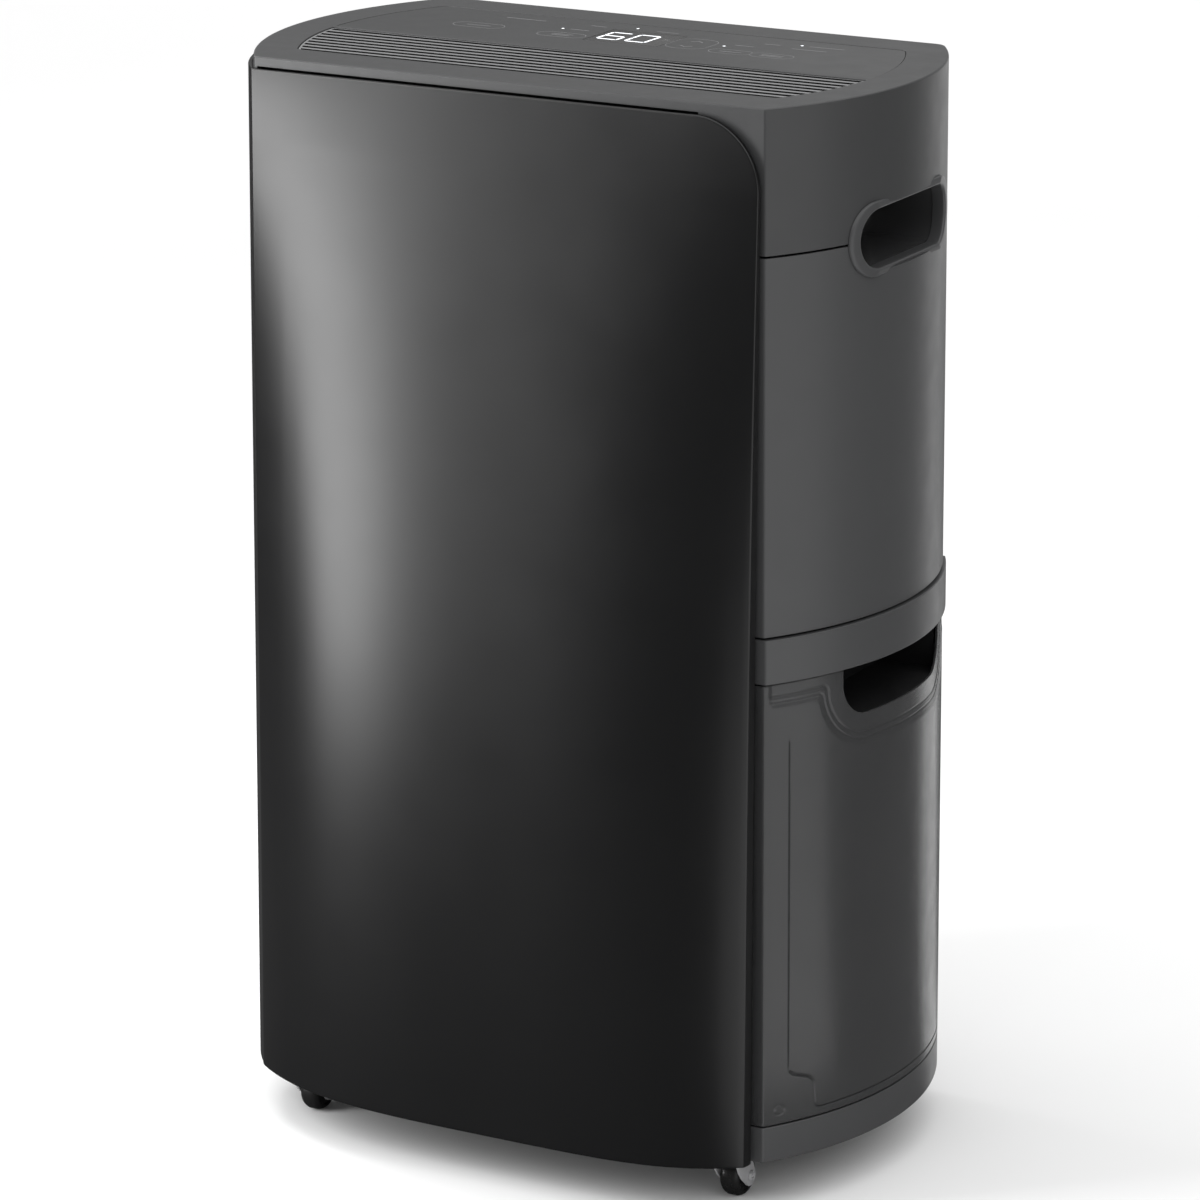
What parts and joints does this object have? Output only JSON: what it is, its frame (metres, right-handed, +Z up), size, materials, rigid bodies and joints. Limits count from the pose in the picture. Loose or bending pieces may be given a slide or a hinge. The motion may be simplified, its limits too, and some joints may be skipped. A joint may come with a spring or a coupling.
{
  "type": "portable dehumidifier",
  "caption": "Upright portable dehumidifier with a bowed gloss front, top outlet louvres, touch controls, side handles, pull-out side water bucket, rear filter and swivel casters.",
  "frame": {"origin": "on the floor, under the middle of the object's box", "axes": "+X towards the bucket side, which is the right side seen from the front; +Y towards the rear intake; +Z up; the gloss front faces -Y"},
  "size_m": [0.3968, 0.282, 0.6273],
  "materials": {
    "cabinet_grey": "satin dark grey moulding with a fine texture",
    "panel_gloss": "high gloss black",
    "control_gloss": "smooth semi-gloss touch surface",
    "inner_black": "matt black moulding",
    "cup_gloss": "gloss black",
    "smoke_clear": "smoke grey, see-through",
    "slat_grey": "satin mid grey",
    "display_dark": "polished dark window",
    "zinc_steel": "plated steel",
    "can_aluminium": "drawn can",
    "motor_paint": "grey paint",
    "copper_pipe": "drawn copper",
    "coil_fins": "closely stacked fins",
    "black_enamel": "black enamel",
    "black_rubber": "matt rubber",
    "inner_white": "natural white moulding",
    "board_green": "coated circuit board",
    "filter_net": "woven net",
    "wheel_black": "smooth hard rubber"
  },
  "bodies": {
    "housing": {"base_pan": "cabinet_grey", "bay_partition": "inner_black", "capillary_tube": "copper_pipe", "compressor": "black_enamel", "compressor_grommet_1": "black_rubber", "compressor_grommet_2": "black_rubber", "compressor_grommet_3": "black_rubber", "condenser": "coil_fins", "control_board": "board_green", "cord_gland": "black_rubber", "deck": "inner_black", "discharge_pipe": "copper_pipe", "display_lens": "display_dark", "drain_pan": "inner_white", "drain_port": "inner_black", "evaporator": "coil_fins", "fan_inlet_ring": "inner_black", "fan_motor": "motor_paint", "fan_scroll": "inner_black", "front_frame": "inner_black", "front_panel": "panel_gloss", "handle_bezel_left": "cabinet_grey", "handle_bezel_right": "cabinet_grey", "handle_cup_left": "cup_gloss", "handle_cup_right": "cup_gloss", "humidity_sensor": "inner_white", "left_side_cover": "cabinet_grey", "outlet_duct": "inner_black", "outlet_grille": "slat_grey", "power_box": "zinc_steel", "rear_cover": "cabinet_grey", "rear_grille": "cabinet_grey", "right_side_cover": "cabinet_grey", "run_capacitor": "can_aluminium", "suction_accumulator": "black_enamel", "suction_pipe": "copper_pipe", "top_cover": "cabinet_grey", "touch_panel": "control_gloss"},
    "bucket": {"bucket_tank": "smoke_clear", "bucket_rim": "cabinet_grey", "bucket_lid": "inner_black", "float_pin": "inner_white"},
    "float": {"bucket_float": "inner_white"},
    "filter": {"filter_frame": "inner_black", "filter_mesh": "filter_net"},
    "fan": {"fan_wheel": "inner_black", "fan_shaft": "zinc_steel"},
    "drain_plug": {"drain_cap": "black_rubber"},
    "swivel_front_left": {"caster_fork_front_left": "zinc_steel", "caster_axle_front_left": "zinc_steel"},
    "wheel_front_left": {"caster_wheel_front_left": "wheel_black"},
    "swivel_front_right": {"caster_fork_front_right": "zinc_steel", "caster_axle_front_right": "zinc_steel"},
    "wheel_front_right": {"caster_wheel_front_right": "wheel_black"},
    "swivel_rear_left": {"caster_fork_rear_left": "zinc_steel", "caster_axle_rear_left": "zinc_steel"},
    "wheel_rear_left": {"caster_wheel_rear_left": "wheel_black"},
    "swivel_rear_right": {"caster_fork_rear_right": "zinc_steel", "caster_axle_rear_right": "zinc_steel"},
    "wheel_rear_right": {"caster_wheel_rear_right": "wheel_black"}
  },
  "joints": [
    {"name": "bucket_slide", "type": "slide", "parent": "housing", "child": "bucket", "axis": [1, 0, 0], "range_m": [0, 0.18]},
    {"name": "float_hinge", "type": "hinge", "parent": "bucket", "child": "float", "pos_m": [0.033, 0, 0.3209], "axis": [0, -1, 0], "range_deg": [0, 12]},
    {"name": "filter_slide", "type": "slide", "parent": "housing", "child": "filter", "axis": [0, 0, 1], "range_m": [0, 0.19]},
    {"name": "fan_spin", "type": "hinge", "parent": "housing", "child": "fan", "pos_m": [0, -0.035, 0.459], "axis": [0, 1, 0], "continuous": true},
    {"name": "drain_cap_turn", "type": "hinge", "parent": "housing", "child": "drain_plug", "pos_m": [0.1, 0.129, 0.35], "axis": [0, 1, 0], "continuous": true},
    {"name": "swivel_front_left_turn", "type": "hinge", "parent": "housing", "child": "swivel_front_left", "pos_m": [-0.139, -0.092, 0.0268], "axis": [0, 0, 1], "continuous": true},
    {"name": "wheel_front_left_roll", "type": "hinge", "parent": "swivel_front_left", "child": "wheel_front_left", "pos_m": [-0.139, -0.083, 0.0125], "axis": [1, 0, 0], "continuous": true},
    {"name": "swivel_front_right_turn", "type": "hinge", "parent": "housing", "child": "swivel_front_right", "pos_m": [0.139, -0.092, 0.0268], "axis": [0, 0, 1], "continuous": true},
    {"name": "wheel_front_right_roll", "type": "hinge", "parent": "swivel_front_right", "child": "wheel_front_right", "pos_m": [0.139, -0.083, 0.0125], "axis": [1, 0, 0], "continuous": true},
    {"name": "swivel_rear_left_turn", "type": "hinge", "parent": "housing", "child": "swivel_rear_left", "pos_m": [-0.139, 0.08, 0.0268], "axis": [0, 0, 1], "continuous": true},
    {"name": "wheel_rear_left_roll", "type": "hinge", "parent": "swivel_rear_left", "child": "wheel_rear_left", "pos_m": [-0.139, 0.089, 0.0125], "axis": [1, 0, 0], "continuous": true},
    {"name": "swivel_rear_right_turn", "type": "hinge", "parent": "housing", "child": "swivel_rear_right", "pos_m": [0.139, 0.08, 0.0268], "axis": [0, 0, 1], "continuous": true},
    {"name": "wheel_rear_right_roll", "type": "hinge", "parent": "swivel_rear_right", "child": "wheel_rear_right", "pos_m": [0.139, 0.089, 0.0125], "axis": [1, 0, 0], "continuous": true}
  ]
}
